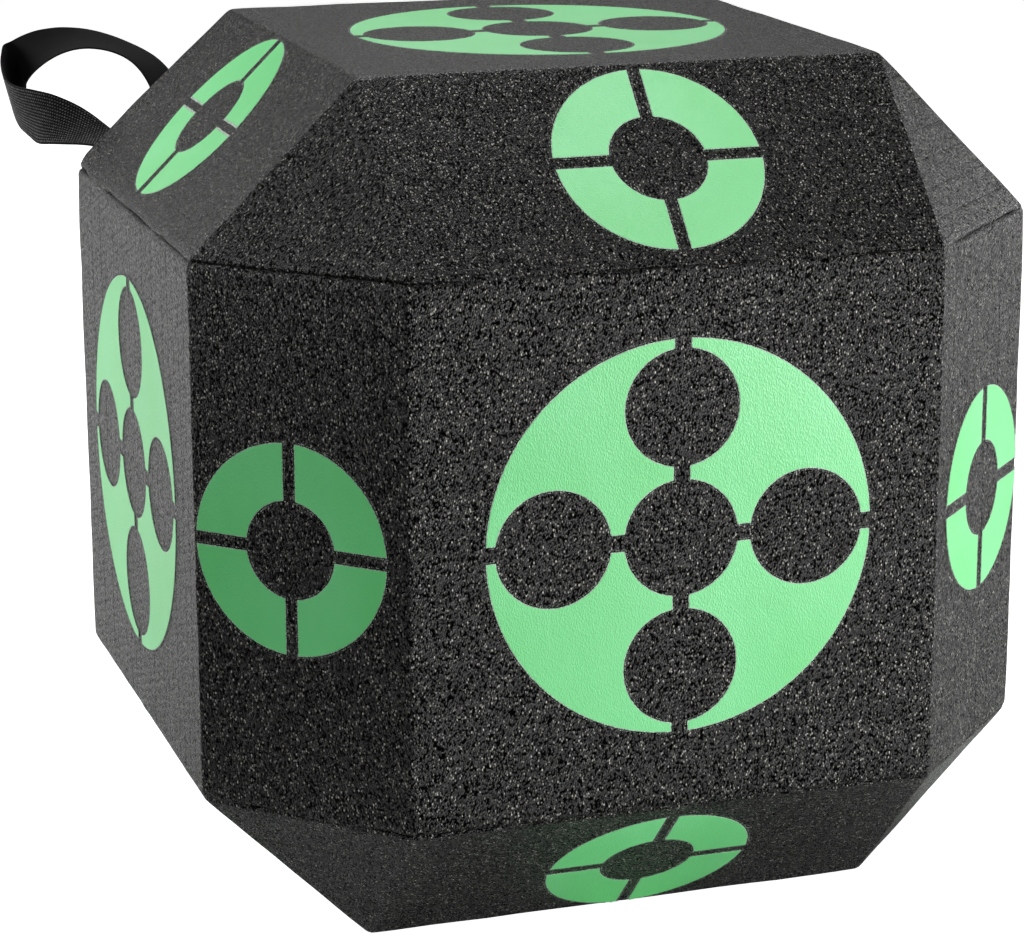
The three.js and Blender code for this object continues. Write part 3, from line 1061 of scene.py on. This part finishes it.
# Floor, room and lights
studio = dict(
    floor=0.86, floorGlow=0.95, floorReach=4, floorLevel=-0.0004, ambient=0.02,
    card=(-1.9, -0.32, -1.3, 0.15), cardLevel=0.002, cardTone=0.01,
    lights={  # azimuth and height angle in degrees, distance, size, watts
        "key": (42, 3, 1.8, 0.7, 24.5),
        "right": (112, 8, 2.0, 1.2, 7.5),
        "farLeft": (-110, 14, 1.8, 0.8, 12.5),
        "left": (-138, 10, 1.8, 0.7, 3.5),
        "behindLeft": (-155, 12, 2.0, 1.0, 2.8),
        "aboveLeft": (-85, 47, 1.8, 0.8, 6.5),
        "behindAbove": (165, 50, 2.0, 1.2, 18),
        "above": (45, 72, 1.8, 1.0, 7.5),
        "front": (-12, 14, 2.0, 1.0, 1.5),
    },
)


def addSheet(name, x0, x1, y0, y1, level, material):
    corners = [(x0, y0, level), (x1, y0, level), (x1, y1, level), (x0, y1, level)]
    return addMesh(name, corners, [(0, 1, 2, 3)], material)


def makeStudio():
    material, t = newMaterial("paleFloor")
    plain = t.put("ShaderNodeBsdfDiffuse", {"Color": (studio["floor"],) * 3 + (1,)})
    seen = t.math("MULTIPLY", t.put("ShaderNodeLightPath").outputs["Is Camera Ray"], studio["floorGlow"])
    glow = t.put("ShaderNodeEmission", {"Strength": seen})
    finishMaterial(t, t.put("ShaderNodeAddShader", {0: plain.outputs[0], 1: glow.outputs[0]}))
    reach = studio["floorReach"]
    floor = addSheet("floor", -reach, reach, -reach, reach, studio["floorLevel"], material)
    # A black card on the floor at the left, out of the camera's sight, keeps the bevel there dark.
    material, t = newMaterial("darkCard")
    finishMaterial(t, t.put("ShaderNodeBsdfDiffuse", {"Color": (studio["cardTone"],) * 3 + (1,)}))
    card = addSheet("darkCard", *studio["card"], studio["cardLevel"], material)
    card.visible_camera = False
    world = bpy.data.worlds.new("room")
    world.use_nodes = True
    world.node_tree.nodes.clear()
    t = TreeBuilder(world.node_tree)
    strength = t.ramp(t.put("ShaderNodeLightPath").outputs["Is Camera Ray"], 0.0, 1.0, studio["ambient"], 1.0)
    back = t.put("ShaderNodeBackground", {"Color": (1, 1, 1, 1), "Strength": strength})
    t.put("ShaderNodeOutputWorld", {"Surface": back.outputs[0]})
    scene.world = world
    for name, (azimuth, rise, distance, size, watts) in studio["lights"].items():
        data = bpy.data.lights.new(name, "AREA")
        data.energy, data.size, data.shape = watts, size, "DISK"
        light = bpy.data.objects.new(name, data)
        light.visible_camera = False
        scene.collection.objects.link(light)
        way = direction(azimuth, rise)
        light.location = middle + way * distance
        light.rotation_euler = (-way).to_track_quat("-Z", "Y").to_euler()


makeStudio()
print("studio set")

# What each piece moves with and stands for
coreSheets = 2 * block["bevelSheets"] + block["faceSheets"]
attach(core, "block")
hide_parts(*["core_sheet_%02d" % n for n in range(1, coreSheets + 1)])
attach(topCap, "block")
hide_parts(*["top_cap_sheet_%d" % n for n in range(1, block["bevelSheets"] + 1)])
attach(bottomCap, "block")
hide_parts(*["bottom_cap_sheet_%d" % n for n in range(1, block["bevelSheets"] + 1)])
for piece in bases + films + outlines:
    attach(piece, "block")
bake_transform(carryingStrap)
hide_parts("strap_tail_near", "strap_tail_far", "strap_loop")
